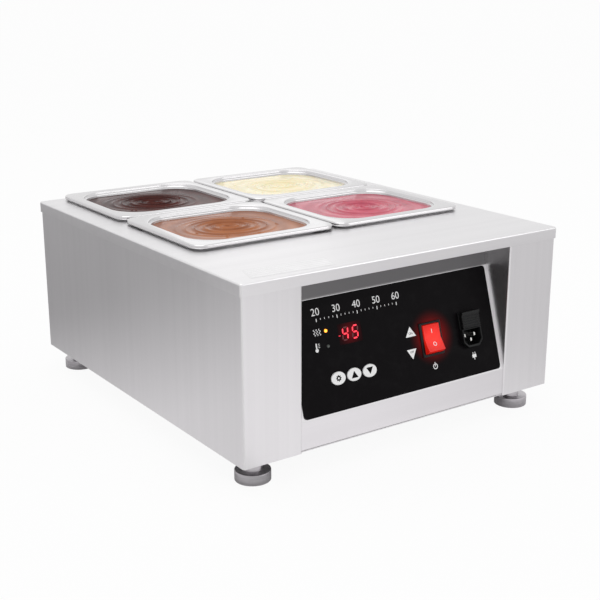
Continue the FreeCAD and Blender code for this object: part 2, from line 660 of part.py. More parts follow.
def thermal_cutout():
    """The round safety thermostat on the tank's front wall, with two blades."""
    wall = PANS_Y - TANK_HALF[1]
    centre = V(40, wall, 128)
    cup = rod(8.0, centre, centre + V(0, -4, 0))
    cap = rod(7.0, centre + V(0, -4, 0), centre + V(0, -12, 0))
    ears = block((28, 52), (wall - 1.2, wall), (125, 131))
    blades = [block((x - 0.4, x + 0.4), (wall - 20, wall - 12), (125, 131)) for x in (37.0, 43.0)]
    return cup.fuse([cap, ears] + blades).removeSplitter()


# ---- electrics on the base --------------------------------------------------------------
def power_board():
    """The board that switches the heater."""
    return rounded_block(58.0, 32.0, 2.0, (38.0, 38.0 + BOARD), (-20.0, -157.0))


def power_board_posts():
    """Four spacers under the power board."""
    return Part.makeCompound([hexagon_bar(V(x, y, BASE_TOP), V(x, y, 38.0), 6.0) for x, y in POWER_POSTS])


def transformer():
    """A small laminated transformer: a core with a bobbin through it."""
    top = 38.0 + BOARD
    core = block((-68, -32), (-172, -142), (top, top + 30))
    core = core.cut(block((-62, -56), (-180, -130), (top + 6, top + 24)))
    core = core.cut(block((-44, -38), (-180, -130), (top + 6, top + 24)))
    bobbin = block((-61.9, -38.1), (-176, -138), (top + 6.1, top + 23.9))
    return core.fuse(bobbin).removeSplitter()


def heater_relay():
    """The relay for the heating mat."""
    top = 38.0 + BOARD
    relay = block((-18, 2), (-171, -155), (top, top + 21))
    return relay.makeChamfer(0.8, edges_at(relay, top + 21))


def terminal_block():
    """A row of screw clamps for the mains and heater wires."""
    top = 38.0 + BOARD
    row = block((8, 28), (-180, -134), (top, top + 14))
    for step in range(5):
        y = -175.4 + 9.2 * step
        row = row.cut(block((12.6, 17.4), (y - 2.4, y + 2.4), (top + 10, top + 15)))
        row = row.cut(block((22, 29), (y - 2.6, y + 2.6), (top + 3, top + 9)))
    return row


def earth_stud():
    """The earthing stud welded to the base, with its nut."""
    centre = V(110, -140, BASE_TOP)
    nut = hexagon_bar(centre + V(0, 0, 3), centre + V(0, 0, 7), 8.0)
    return nut.fuse(rod(2.5, centre, centre + V(0, 0, 16))).removeSplitter()


# ---- feet and fasteners ----------------------------------------------------------------
def foot(place):
    """A turned foot: a disc with a bevelled rim under a narrow neck that is bored for its bolt."""
    disc = rod(FOOT_RADIUS, V(0, 0, 0), V(0, 0, FOOT_DISC))
    disc = disc.makeChamfer(FOOT_BEVEL, edges_at(disc, FOOT_DISC))
    neck = rod(FOOT_NECK, V(0, 0, FOOT_DISC), V(0, 0, BODY_BOTTOM))
    turned = disc.fuse(neck).removeSplitter()
    turned = turned.cut(rod(BOLT_RADIUS, V(0, 0, FOOT_BORE), V(0, 0, BODY_BOTTOM)))
    turned.translate(V(place[0] * FOOT_X, place[1] * FOOT_Y, 0))
    return turned


def foot_bolts():
    """The bolts through the base that hold the feet, heads inside."""
    seats = [V(sx * FOOT_X, sy * FOOT_Y, BASE_TOP) for sx, sy in FOOT_PLACES.values()]
    length = BASE_TOP - FOOT_BORE
    return Part.makeCompound([bolt(p, V(0, 0, 1), 13.0, 5.5, BOLT_RADIUS, length) for p in seats])


def tie_bolts():
    """Long bolts from under the base to the deck, which pull the casing together."""
    seats = [V(x, y, BODY_BOTTOM) for x, y in TIE_PLACES]
    length = DECK_UNDER - BODY_BOTTOM
    return Part.makeCompound([bolt(p, V(0, 0, -1), 8.0, 3.5, TIE_RADIUS, length) for p in seats])


def build():
    """Write every piece."""
    os.makedirs("parts", exist_ok=True)
    left = left_side_panel()
    save("top_cover", top_cover())
    save("left_side_panel", left)
    save("right_side_panel", mirrored(left))
    save("rear_panel", rear_panel())
    save("base_plate", base_plate())
    save("base_rails", Part.makeCompound([base_rail(), mirrored(base_rail())]))
    save("control_plate", control_plate())
    save("panel_overlay", panel_overlay())
    for maker in (display_window, display_module, display_board, display_board_posts, tact_switches,
                  switch_housing, switch_terminals, rocker, inlet_housing, inlet_pins, fuse_drawer, fuse,
                  heating_tank, heating_mat, tank_insulation, insulation_board, tank_bridges,
                  temperature_probe, probe_clip, thermal_cutout, power_board, power_board_posts,
                  transformer, heater_relay, terminal_block, earth_stud,
                  foot_bolts, tie_bolts):
        save(maker.__name__, maker())
    for name, height in LAMP_HEIGHTS.items():
        save(name, panel_lamp(height))
    for name, x in KEY_PLACES.items():
        save(name, panel_key(x))
    for name, place in PAN_PLACES.items():
        save(name + "_pan", pan(place))
        save(CHOCOLATES[name], chocolate(place))
    for name, place in FOOT_PLACES.items():
        save(name, foot(place))
    save("base_screws", Part.makeCompound([hexagon_screw(p, (0, 0, -1), 5.0) for p in BASE_SCREWS]))
    save("rear_screws", Part.makeCompound([hexagon_screw(p, (0, 1, 0), 6.0) for p in REAR_SCREWS]))


build()
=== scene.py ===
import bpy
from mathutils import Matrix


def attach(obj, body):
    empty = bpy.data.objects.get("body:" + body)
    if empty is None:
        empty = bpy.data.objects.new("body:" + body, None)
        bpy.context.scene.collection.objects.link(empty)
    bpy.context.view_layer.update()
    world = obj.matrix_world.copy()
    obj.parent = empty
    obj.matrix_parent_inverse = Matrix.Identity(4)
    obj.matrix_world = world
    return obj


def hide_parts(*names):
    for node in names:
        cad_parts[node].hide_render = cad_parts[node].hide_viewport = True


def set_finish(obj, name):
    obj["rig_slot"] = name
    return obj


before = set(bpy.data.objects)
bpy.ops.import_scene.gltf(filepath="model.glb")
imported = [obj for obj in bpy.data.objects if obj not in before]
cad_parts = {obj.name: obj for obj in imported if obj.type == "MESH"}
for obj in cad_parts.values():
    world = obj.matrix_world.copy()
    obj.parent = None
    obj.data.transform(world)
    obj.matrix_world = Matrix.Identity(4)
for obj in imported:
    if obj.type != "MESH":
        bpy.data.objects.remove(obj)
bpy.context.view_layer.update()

# %% [markdown]
# A four-pan chocolate warmer: a folded stainless casing with a sloping control panel, and four
# lift-out pans of melted chocolate. The frame carries every part and joint; these cells give the
# parts their surfaces, the pans and the chocolate their pressed and poured forms, and the light.
# Sizes are in metres, x to the right, y to the back and z up.

# %% Imports and shared numbers
import bpy
import bmesh
import math
import numpy as np
from mathutils import Matrix, Vector

MM = 0.001
PAN_CENTRES = {"rear_left": (-90.0, 144.0), "rear_right": (90.0, 144.0),
               "front_left": (-90.0, -23.0), "front_right": (90.0, -23.0)}
PAN_RIM = 215.0
DECK_TOP = 209.0
RISE, RUN = 0.95560, 0.29468
SLOPE = Matrix(((1, 0, 0, 0), (0, RUN, -RISE, -0.227), (0, RISE, RUN, 0.057), (0, 0, 0, 1)))
SWITCH = (41.0, 51.5)
DISPLAY = (-61.0, 76.5)
KEY_HEIGHT = 34.5
KEY_PLACES = {"set_key": -84.6, "up_key": -64.8, "down_key": -45.0}

# %% [markdown]
# ## Surfaces from grids
# A pressed pan, a pool of chocolate and a turned foot are all rows of points joined into quads. One
# helper makes a mesh from such a grid, closed round each row, with a point at either end if asked.

# %% Grid meshes


def grid_mesh(name, rows, poles=(False, False), ring=False):
    """A mesh over rows x columns of points: columns close on themselves, rows too if it is a ring."""
    count, across = rows.shape[:2]
    index = np.arange(count * across).reshape(count, across)
    below = index if ring else index[:-1]
    above = np.roll(index, -1, 0) if ring else index[1:]
    quads = np.stack([below, np.roll(below, -1, 1), np.roll(above, -1, 1), above], -1).reshape(-1, 4)
    points = rows.reshape(-1, 3)
    faces = quads.tolist()
    for end, wanted in zip((0, -1), poles):
        if wanted:
            tip = len(points)
            points = np.vstack([points, rows[end].mean(0)])
            edge, after = index[end], np.roll(index[end], -1)
            pair = (after, edge) if end == 0 else (edge, after)
            faces += np.stack([*pair, np.full(across, tip)], -1).tolist()
    mesh = bpy.data.meshes.new(name)
    mesh.from_pydata((points * MM).tolist(), [], faces)
    mesh.polygons.foreach_set("use_smooth", np.ones(len(faces), bool))
    mesh.update()
    return mesh


def rounded_rings(half_x, half_y, corner, z, corner_steps=14, side_steps=10):
    """One rounded rectangle per row. All arguments are arrays of one length, in millimetres."""
    half_x, half_y, corner, z = (np.asarray(a, float)[:, None] for a in (half_x, half_y, corner, z))
    corners, parts = [], []
    for quarter, (sx, sy) in enumerate(((1, 1), (-1, 1), (-1, -1), (1, -1))):
        turn = np.linspace(0, math.pi / 2, corner_steps) + quarter * math.pi / 2
        x = sx * (half_x - corner) + corner * np.cos(turn)
        y = sy * (half_y - corner) + corner * np.sin(turn)
        corners.append(np.stack([x, y], -1))
    for quarter in range(4):
        here, after = corners[quarter], corners[(quarter + 1) % 4]
        parts.append(here)
        share = np.linspace(0, 1, side_steps + 2)[1:-1][None, :, None]
        parts.append(here[:, -1:] * (1 - share) + after[:, :1] * share)
    flat = np.concatenate(parts, 1)
    return np.concatenate([flat, np.broadcast_to(z[..., None], flat.shape[:2] + (1,))], -1)


def smooth_line(points, steps=6):
    """Points on a line whose corners, given as (a, b, radius), are rounded by arcs."""
    points = [(np.array(p[:2], float), p[2] if len(p) > 2 else 0.0) for p in points]
    line = [points[0][0]]
    for (before, _), (corner, radius), (after, _) in zip(points, points[1:], points[2:]):
        if radius == 0:
            line.append(corner)
            continue
        back = (before - corner) / np.linalg.norm(before - corner)
        on = (after - corner) / np.linalg.norm(after - corner)
        half = math.acos(np.clip(back @ on, -1, 1)) / 2
        reach = radius / math.tan(half)
        middle = corner + (back + on) / np.linalg.norm(back + on) * radius / math.sin(half)
        start, end = corner + back * reach - middle, corner + on * reach - middle
        sweep = math.pi - 2 * half
        for share in np.linspace(0, 1, steps + 1):
            arc = (np.sin((1 - share) * sweep) * start + np.sin(share * sweep) * end) / math.sin(sweep)
            line.append(middle + arc)
    line.append(points[-1][0])
    return np.array(line)


def lathe_rows(profile, centre, steps=96):
    """A turned form: (radius, z) pairs carried round a vertical axis, in millimetres."""
    turn = np.linspace(0, 2 * math.pi, steps, endpoint=False)
    profile = np.asarray(profile, float)
    x = centre[0] + profile[:, :1] * np.cos(turn)
    y = centre[1] + profile[:, :1] * np.sin(turn)
    return np.stack([x, y, np.broadcast_to(profile[:, 1:], x.shape)], -1)


def add_piece(name, mesh, body, slot_name, *nodes):
    """Puts a mesh in the scene as a piece that rides on a body and stands for some nodes."""
    made = bpy.data.objects.new(name, mesh)
    bpy.context.scene.collection.objects.link(made)
    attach(made, body)
    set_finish(made, slot_name)
    if nodes:
        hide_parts(*nodes)
    return made


def signed_volume(piece):
    """Cubic centimetres inside a closed piece, positive if its faces look outwards."""
    work = bmesh.new()
    work.from_mesh(piece.data)
    volume = work.calc_volume(signed=True) * 1e6
    work.free()
    return round(volume, 2)


print("grid helpers ready")

# %% [markdown]
# ## Softened copies of folded and moulded parts
# Sheet edges and moulded edges are never perfectly sharp: the small round on them catches the
# light. Each copy has its loose triangles merged and flattened into faces, and a fine bevel.

# %% Softened copies


def softened(node, body, slot_name, width=0.3, segments=2, angle=28.0):
    """A copy of a node of the frame with its sharp edges rounded, which stands for that node."""
    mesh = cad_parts[node].data.copy()
    mesh.name = node + "_soft"
    mesh.materials.clear()
    work = bmesh.new()
    work.from_mesh(mesh)
    bmesh.ops.remove_doubles(work, verts=work.verts, dist=2e-6)
    bmesh.ops.dissolve_limit(work, angle_limit=math.radians(0.5), verts=work.verts, edges=work.edges)
    for face in work.faces:
        face.smooth = True
    for edge in work.edges:
        edge.smooth = len(edge.link_faces) == 2 and edge.calc_face_angle() < math.radians(angle)
    work.to_mesh(mesh)
    work.free()
    made = add_piece(node + "_soft", mesh, body, slot_name, node)
    if width:
        bevel = made.modifiers.new("edges", "BEVEL")
        bevel.width = width * MM
        bevel.segments = segments
        bevel.limit_method = "ANGLE"
        bevel.angle_limit = math.radians(angle)
        bevel.harden_normals = True
        bevel.miter_outer = "MITER_ARC"
    return made


SOFT = {
    "top_cover": ("root", "cover_steel", 0.25), "left_side_panel": ("root", "casing_steel", 0.25),
    "right_side_panel": ("root", "casing_steel", 0.25), "rear_panel": ("root", "casing_steel", 0.25),
    "control_plate": ("root", "panel_steel", 0.25), "base_plate": ("root", "casing_steel", 0.25),
    "panel_overlay": ("root", "overlay_black", 0.12), "display_window": ("root", "window_red", 0.1),
    "switch_housing": ("root", "housing_black", 0.5), "rocker": ("rocker", "rocker_red", 0.5),
    "inlet_housing": ("root", "housing_black", 0.45), "fuse_drawer": ("fuse_drawer", "housing_black", 0.3),
    "set_key": ("set_key", "key_white", 0.2), "up_key": ("up_key", "key_white", 0.2),
    "down_key": ("down_key", "key_white", 0.2),
}
soft = {node: softened(node, *settings) for node, settings in SOFT.items()}
print(len(soft), "softened copies")

# %% [markdown]
# ## The pans
# Each pan is one pressed sheet: a lip turned down all round, a flat rim, a small step that a lid
# sits in, a tapered bowl and a rounded foot. Its section is one line, carried round a rectangle
# whose corners grow rounder towards the bowl, once for the upper skin and once a sheet's thickness
# behind it.

# %% Pans
OUTER, MOUTH = (88.0, 81.0, 14.0), (74.5, 66.5, 34.0)
SHEET = 0.8


def pan_section():
    """(inward reach from the outer edge, height) along the upper skin, lip first, floor last."""
    low = PAN_RIM - 100.0 + SHEET
    return smooth_line([(0, PAN_RIM - 4.0), (0, PAN_RIM, 1.5), (11.2, PAN_RIM, 1.0),
                        (11.5, PAN_RIM - 2.5, 0.9), (13.9, PAN_RIM - 2.5, 1.3),
                        (20.2, low + 7, 12.0), (27.5, low, 6.0), (40.0, low)])


def offset_line(line, distance):
    """The line moved sideways by a distance, each point along the mean of its two normals."""
    ways = np.diff(line, axis=0)
    ways /= np.linalg.norm(ways, axis=1)[:, None]
    normals = np.stack([ways[:, 1], -ways[:, 0]], -1)
    mean = np.vstack([normals[:1], normals[:-1] + normals[1:], normals[-1:]])
    mean /= np.linalg.norm(mean, axis=1)[:, None]
    return line + mean * distance


def pan_rings(line):
    """Rounded rectangles for a section line: sizes shrink inwards, corners grow to the mouth's."""
    reach, z = line[:, 0], line[:, 1]
    to_mouth = OUTER[0] - MOUTH[0]
    share = np.clip(reach / to_mouth, None, 1.0)
    past = np.maximum(reach - to_mouth, 0.0)
    half_x = OUTER[0] - reach
    half_y = OUTER[1] + (MOUTH[1] - OUTER[1]) * share - past
    rim = OUTER[2] - np.minimum(reach, 2.0)
    bowl = MOUTH[2] + np.maximum(to_mouth - reach, 0.0) - past
    corner = np.where(reach < 6.0, rim, bowl)
    return rounded_rings(half_x, half_y, np.clip(corner, 1.0, None), z)


def pan_rows(place):
    """Upper skin out to in, then the lower skin in to out, as one ring of rows."""
    section = pan_section()
    upper = pan_rings(section)
    lower = pan_rings(offset_line(section, SHEET))
    shrink = np.array([0.7, 0.4, 0.12])[:, None, None]
    middle_up, middle_low = upper[-1].mean(0), lower[-1].mean(0)
    floor_up = middle_up + (upper[-1][None] - middle_up) * shrink
    floor_low = middle_low + (lower[-1][None] - middle_low) * shrink
    rows = np.concatenate([upper, floor_up, floor_low[::-1], lower[::-1]])
    return rows + np.array([*PAN_CENTRES[place], 0.0])


pans = {}
for place in PAN_CENTRES:
    rows = pan_rows(place)
    mesh = grid_mesh(place + "_pan_skin", rows, ring=True)
    pans[place] = add_piece(place + "_pan_skin", mesh, place + "_pan", "pan_steel", place + "_pan")
print("pans", {name: signed_volume(piece) for name, piece in pans.items()})

# %% [markdown]
# ## The chocolate
# Melted chocolate settles level and shows the last stir as low rings round an off-centre eye, with
# a softer wave or two outside them. Against the wall it creeps up a little, and small bubbles
# stay on it. The height is a sum of such waves over the pan's own rounded outline.

# %% Chocolate
CHOCOLATE_TOP = PAN_RIM - 6.2
SWIRLS = {"dark": (-4.0, 3.0, 0.3, 11), "white": (6.0, -2.0, 2.1, 12),
          "milk": (2.0, 1.0, 1.2, 13), "pink": (4.0, -3.0, 3.9, 14)}
FILLED = {"rear_left": "dark", "rear_right": "white", "front_left": "milk", "front_right": "pink"}


def stirred(x, y, eye_x, eye_y, phase, seed):
    """Height of the stirred surface in millimetres: a fading spiral, broad waves and a few bubbles."""
    across, along = (x - eye_x) / 1.12, y - eye_y
    radius = np.hypot(across, along)
    turn = np.arctan2(along, across)
    wander = 2.2 * np.sin(turn + phase) + 1.4 * np.sin(2 * turn - phase)
    wound = (radius + wander) / 9.5 - turn / (2 * math.pi)
    crest = 1 - np.abs(np.sin(math.pi * wound)) ** 0.85
    fade = np.clip((62 - radius) / 34, 0, 1) ** 1.3 * np.clip(radius / 6, 0, 1)
    height = 1.9 * crest * fade
    height += 0.55 * np.exp(-(radius / 7) ** 2) * np.cos(3 * turn + phase)
    height += 0.28 * np.sin(x / 17 + y / 23 + phase) * np.cos(y / 19 - x / 31)
    random = np.random.default_rng(seed)
    for _ in range(9):
        bubble_x, bubble_y = random.uniform(-52, 52), random.uniform(-44, 44)
        size = random.uniform(0.8, 1.7)
        away = np.hypot(x - bubble_x, y - bubble_y) / size
        height += 0.55 * size * np.clip(1 - away ** 2, 0, 1) ** 0.5
    return height


def fine_rings(rows, times):
    """Columns of a closed grid spaced more closely, points between neighbours on a straight line."""
    share = np.arange(times)[None, None, :, None] / times
    after = np.roll(rows, -1, 1)
    fine = rows[:, :, None] * (1 - share) + after[:, :, None] * share
    return fine.reshape(rows.shape[0], -1, 3)


def chocolate_rows(place, kind):
    """Rings from the eye of the pool to its edge, then down the wall to the floor."""
    section = pan_section()
    start = np.argmax(section[:, 1] < CHOCOLATE_TOP)
    wall = section[max(start - 1, 0):]
    wall = wall[wall[:, 1] <= CHOCOLATE_TOP + 3]
    top = np.array([np.interp(-CHOCOLATE_TOP - 0.5, -wall[:, 1], wall[:, 0]) + 0.1, CHOCOLATE_TOP + 0.5])
    below = wall[wall[:, 1] < CHOCOLATE_TOP - 1.0] + np.array([0.12, 0.12])
    side = pan_rings(np.vstack([top, below]))
    edge = side[0]
    centre = edge.mean(0)
    share = (np.arange(1, 111) / 111.0)[:, None, None]
    pool = centre + (edge[None] - centre) * share
    pool, side = fine_rings(pool, 3), fine_rings(side, 3)
    x, y = pool[..., 0], pool[..., 1]
    creep = 0.5 * np.exp(-(1 - share[..., 0]) * 70 / 1.6)
    settle = np.clip((1 - share[..., 0]) * 9, 0, 1)
    pool[..., 2] = CHOCOLATE_TOP + creep + stirred(x, y, *SWIRLS[kind]) * settle
    rows = np.concatenate([pool, side])
    return rows + np.array([*PAN_CENTRES[place], 0.0])


pools = {}
for place, kind in FILLED.items():
    rows = chocolate_rows(place, kind)
    mesh = grid_mesh(kind + "_chocolate_pool", rows[::-1], poles=(True, True))
    node_name = kind + "_chocolate"
    pools[kind] = add_piece(node_name + "_pool", mesh, place + "_pan", node_name, node_name)
print("pools", {name: signed_volume(piece) for name, piece in pools.items()})

# %% [markdown]
# ## The feet
# Four turned steel discs on short necks, with a fine bevel at either rim.

# %% Feet
FOOT_PROFILE = smooth_line([(0.2, 0.0), (18.2, 0.0, 0.6), (18.2, 11.0, 0.7), (9.0, 11.0, 0.4), (9.0, 26.0),
                            (0.2, 26.0)], 4)
FOOT_ACROSS, FOOT_BACK = 176.3, 201.3
feet = {}
for name, (sx, sy) in {"foot_front_left": (-1, -1), "foot_front_right": (1, -1),
                       "foot_rear_left": (-1, 1), "foot_rear_right": (1, 1)}.items():
    rows = lathe_rows(FOOT_PROFILE, (sx * FOOT_ACROSS, sy * FOOT_BACK))
    mesh = grid_mesh(name + "_turned", rows, poles=(True, True))
    feet[name] = add_piece(name + "_turned", mesh, "root", "foot_steel", name)
print("feet", {name: signed_volume(piece) for name, piece in feet.items()})

# %% [markdown]
# ## Printed signs
# The overlay's signs are screen printed: a scale of plain numbers, small pictures for the lamps, a
# triangle above and below for the switch, and one sign on each key. Each is a filled outline a
# few hundredths of a millimetre thick, laid on the slope.

# %% Flat outlines


def outline_curve(name, outlines, thickness=0.03):
    """A filled flat curve from closed outlines in millimetres; an outline inside another is a hole."""
    curve = bpy.data.curves.new(name, "CURVE")
    curve.dimensions = "2D"
    curve.fill_mode = "BOTH"
    curve.extrude = thickness
    for outline in outlines:
        spline = curve.splines.new("POLY")
        spline.points.add(len(outline) - 1)
        flat = [(x, y, 0.0, 1.0) for x, y in outline]
        spline.points.foreach_set("co", np.array(flat).ravel())
        spline.use_cyclic_u = True
    return curve


def figure_curve(text, size, thickness=0.03):
    """Plain figures, centred, as a filled flat curve in millimetres."""
    curve = bpy.data.curves.new("figures", "FONT")
    curve.body = text
    curve.size = size
    curve.align_x = "CENTER"
    curve.align_y = "CENTER"
    curve.extrude = thickness
    return curve


def flat_bmesh(work, curve, place):
    """Adds a flat curve's filled form to a bmesh, moved by a matrix that is in millimetres."""
    maker = bpy.data.objects.new("maker", curve)
    bpy.context.scene.collection.objects.link(maker)
    bpy.context.view_layer.update()
    mesh = bpy.data.meshes.new_from_object(maker.evaluated_get(bpy.context.evaluated_depsgraph_get()))
    bpy.data.objects.remove(maker)
    mesh.transform(place)
    work.from_mesh(mesh)
    bpy.data.meshes.remove(mesh)


def printed(name, signs, body, slot_name, frame_matrix=SLOPE):
    """One piece from several signs, each (curve, place in the frame's own millimetres)."""
    work = bmesh.new()
    for curve, place in signs:
        flat_bmesh(work, curve, place)
    bmesh.ops.remove_doubles(work, verts=work.verts, dist=1e-3)
    mesh = bpy.data.meshes.new(name)
    work.to_mesh(mesh)
    work.free()
    mesh.transform(frame_matrix @ Matrix.Scale(MM, 4))
    return add_piece(name, mesh, body, slot_name)


def at(s, t, n=0.84, turn=0.0):
    """A place on the slope: across, up the slope, out of it, in millimetres, and a turn in degrees."""
    return Matrix.Translation((s, t, n)) @ Matrix.Rotation(math.radians(turn), 4, "Z")


def bar(length, height):
    """A rectangle about the origin."""
    x, y = length / 2, height / 2
    return [(-x, -y), (x, -y), (x, y), (-x, y)]


def disc(radius, steps=40):
    """A circle about the origin."""
    turn = np.linspace(0, 2 * math.pi, steps, endpoint=False)
    return [(radius * math.cos(a), radius * math.sin(a)) for a in turn]


def triangle(width, height, up=True):
    """A triangle about the origin that points up or down."""
    sign = 1 if up else -1
    points = [(-width / 2, -sign * height / 2), (width / 2, -sign * height / 2), (0, sign * height / 2)]
    return points if up else points[::-1]


def moved(outline, dx, dy):
    """The same outline in another place."""
    return [(x + dx, y + dy) for x, y in outline]


print("sign helpers ready")

# %% [markdown]
# The scale runs along the top of the panel where a heading would stand. Numbers every ten degrees
# sit over ticks, so the line has a heading's weight and says nothing but the range.

# %% Panel signs
SCALE_START, SCALE_STEP = -99.0, 25.5
LAST_NUMBER = 4


def scale_signs():
    """Numbers over long ticks, with four short ticks between."""
    signs = []
    for step in range(LAST_NUMBER + 1):
        s = SCALE_START + step * SCALE_STEP
        signs.append((figure_curve(str(20 + 10 * step), 10.5), at(s, 103.4)))
        signs.append((outline_curve("tick", [bar(0.9, 3.2)]), at(s, 95.4)))
        for minor in (1, 2, 3, 4) if step < LAST_NUMBER else ():
            signs.append((outline_curve("tick", [bar(0.55, 1.8)]), at(s + minor * SCALE_STEP / 5, 96.1)))
    return signs


def lamp_signs():
    """Three heat waves by the upper lamp and a thermometer by the lower."""
    signs = []
    for wave in (-3.2, 0.0, 3.2):
        line = [(wave + 0.9 * math.sin(v * 1.9), v) for v in np.linspace(-3.3, 3.3, 22)]
        back = [(x + 0.85, y) for x, y in line[::-1]]
        signs.append((outline_curve("heat", [line + back]), at(-101.0, 83.5)))
    signs.append((outline_curve("bulb", [disc(1.9)]), at(-104.0, 66.0)))
    signs.append((outline_curve("stem", [bar(1.5, 6.0)]), at(-104.0, 70.0)))
    for height in (68.6, 70.3, 72.0):
        signs.append((outline_curve("mark", [bar(2.0, 0.5)]), at(-100.9, height)))
    return signs


def mains_signs():
    """Triangles beside the switch, a power sign under it and a plug under the inlet."""
    signs = [(outline_curve("on", [triangle(14.0, 10.6)]), at(15.0, 63.5)),
             (outline_curve("off", [triangle(12.8, 10.6, False)]), at(13.0, 40.0)),
             (outline_curve("ring", [disc(3.1), disc(2.2)]), at(SWITCH[0], 21.8)),
             (outline_curve("bar", [bar(0.9, 4.6)]), at(SWITCH[0], 23.9)),
             (outline_curve("plug", [moved(bar(5.6, 3.4), 0, -0.6)]), at(97.0, 22.9))]
    for dx in (-1.4, 1.4):
        signs.append((outline_curve("pin", [bar(0.8, 2.6)]), at(97.0 + dx, 25.2)))
    return signs + [(outline_curve("lead", [bar(0.9, 2.4)]), at(97.0, 19.4))]


panel_signs = printed("panel_signs", scale_signs() + lamp_signs() + mains_signs(), "root", "key_white")

words = [(figure_curve("ON", 3.4), at(15.0, 61.6, 0.9)), (figure_curve("OFF", 2.9), at(13.0, 42.2, 0.9))]
switch_words = printed("switch_words", words, "root", "overlay_black")

TOOTH = ((3.3, -9), (3.3, 9), (2.4, 14), (2.4, 31))
gear = [(r * math.cos(math.radians(45 * k + a)), r * math.sin(math.radians(45 * k + a)))
        for k in range(8) for r, a in TOOTH]
KEY_SIGNS = {"set_key": [gear, disc(1.1)], "up_key": [triangle(8.4, 7.0)],
             "down_key": [triangle(8.4, 7.0, False)]}
KEY_TOP = 1.74
key_signs = {}
for key, outlines in KEY_SIGNS.items():
    sign = [(outline_curve(key, outlines), at(KEY_PLACES[key], KEY_HEIGHT, KEY_TOP))]
    key_signs[key] = printed(key + "_sign", sign, key, "overlay_black")
print("panel signs", len(panel_signs.data.polygons))

# %% [markdown]
# ## The display's figures
# Two red seven-segment figures. Each lit segment is a slim six-sided bar, leaning a little as such
# figures do, and lies just on the pane.

# %% Display figures
SEGMENTS = {"a": (0, 6.2, 0), "b": (3.1, 3.1, 90), "c": (3.1, -3.1, 90), "d": (0, -6.2, 0),
            "e": (-3.1, -3.1, 90), "f": (-3.1, 3.1, 90), "g": (0, 0, 0)}
LIT = {"4": "bcfg", "5": "acdfg"}
LEAN = Matrix(((1, 0.12, 0, 0), (0, 1, 0, 0), (0, 0, 1, 0), (0, 0, 0, 1)))
PANE = 0.74
FIGURES = (("4", -6.0), ("5", 6.4))


def segment(length=5.0, thick=1.45):
    """A slim six-sided bar about the origin."""
    half, point = length / 2, thick / 2
    side = half - point
    return [(-half, 0), (-side, -point), (side, -point), (half, 0), (side, point), (-side, point)]


def display_signs(lit):
    """The lit segments of both figures, or the unlit ones."""
    signs = []
    for figure, aside in FIGURES:
        place = at(DISPLAY[0] + aside, DISPLAY[1], PANE) @ LEAN
        dark = [x for x in SEGMENTS if x not in LIT[figure]]
        for x in LIT[figure] if lit else dark:
            across, up, turn = SEGMENTS[x]
            signs.append((outline_curve("segment", [segment()]), place @ at(across, up, 0.0, turn)))
    return signs


lit = display_signs(True)
lit.append((outline_curve("minus", [bar(2.2, 0.5)]), at(-74.4, 75.4, PANE)))
display_figures = printed("display_figures", lit, "root", "window_red")
unlit = display_signs(False)
display_unlit = printed("display_unlit", unlit, "root", "window_red")
print("display", len(display_figures.data.polygons))

# %% [markdown]
# ## Signs on the rocker
# A bar and a ring, moulded in white on the two halves of the cap. The halves lean away from a valley
# in the middle, and the whole cap is tipped by ten degrees with its upper half pressed in.

# %% Rocker signs
VALLEY, END_HEIGHT, END_REACH = 4.0, 6.49, 14.18
TILT = math.radians(-10.0)


def on_rocker(along, lift=0.02):
    """A place on the tipped cap, given in millimetres from its middle."""
    lean = math.atan2(END_HEIGHT - VALLEY, END_REACH) * (1 if along > 0 else -1)
    height = VALLEY + abs(along) * math.tan(abs(lean)) + lift
    tip = Matrix.Translation((*SWITCH, 0)) @ Matrix.Rotation(TILT, 4, "X")
    return tip @ Matrix.Translation((0, along, height)) @ Matrix.Rotation(lean, 4, "X")


rocker_marks = [(outline_curve("bar", [bar(0.8, 4.4)]), on_rocker(7.4)),
                (outline_curve("ring", [disc(2.3), disc(1.6)]), on_rocker(-6.6))]
rocker_signs = printed("rocker_signs", rocker_marks, "rocker", "key_white")
print("rocker signs", len(rocker_signs.data.polygons))

# %% [markdown]
# ## The film label
# A clear film with plain ruled lines is stuck to the deck in front of the left pans. No words are
# on it.

# %% Film label
LABEL = [(-186.0, -218.0), (-92.0, -222.0), (-84.0, -192.0), (-178.0, -188.0)]
LINE_START, LINE_END, LINE_STEP = Vector((-183.0, -214.0)), Vector((-92.5, -218.0)), Vector((1.6, 5.6))
HALF_LINE = 0.45
film = [(outline_curve("film", [LABEL]), Matrix.Translation((0, 0, DECK_TOP + 0.05)))]
film_label = printed("film_label", film, "root", "cover_steel", Matrix.Identity(4))
across = (LINE_END - LINE_START).normalized()
side = Vector((-across.y, across.x)) * HALF_LINE
lines = []
for row in range(5):
    start, end = LINE_START + row * LINE_STEP, LINE_END + row * LINE_STEP
    lines.append((outline_curve("line", [[start - side, end - side, end + side, start + side]]),
                  Matrix.Translation((0, 0, DECK_TOP + 0.11))))
film_lines = printed("film_lines", lines, "root", "cover_steel", Matrix.Identity(4))
print("label", len(film_lines.data.polygons))

# %% [markdown]
# ## Shader helpers
# A short form for nodes and links, and the effects that several finishes share as node groups: the
# long scratches of brushed steel, the soft marks of wiping hands, and fine moulded grain.

# %% Shader helpers


def node(tree, kind, inputs=(), **settings):
    """Adds a node; inputs maps a socket's name or number to a value or to another socket."""
    made = tree.nodes.new(kind)
    for key, value in settings.items():
        setattr(made, key, value)
    for key, value in dict(inputs).items():
        if isinstance(value, bpy.types.NodeSocket):
            tree.links.new(value, made.inputs[key])
        else:
            made.inputs[key].default_value = value
    return made


